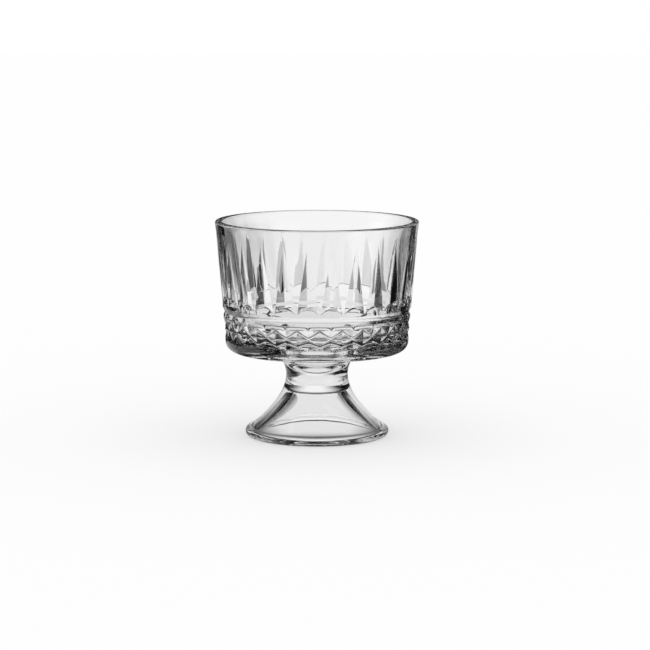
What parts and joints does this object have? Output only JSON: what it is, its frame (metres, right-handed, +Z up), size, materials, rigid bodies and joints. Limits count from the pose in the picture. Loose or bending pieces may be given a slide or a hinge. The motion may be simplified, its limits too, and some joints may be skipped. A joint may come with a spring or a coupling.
{
  "type": "dessert cup",
  "caption": "Footed dessert cup of clear pressed glass: a flared bowl with a fluted wall over a diamond band and a dimple in its floor, on a waisted stem and a hollow flared foot.",
  "frame": {"origin": "on the cup's axis, in the plane of the base ring that stands on the table", "axes": "+Z up along the cup's axis, -Y towards the viewer, +X to the viewer's right"},
  "size_m": [0.095, 0.095, 0.101],
  "materials": {
    "clear_glass": "fire-polished clear glass"
  },
  "bodies": {
    "root": {"foot": "clear_glass", "stem": "clear_glass", "bowl": "clear_glass"}
  },
  "joints": []
}
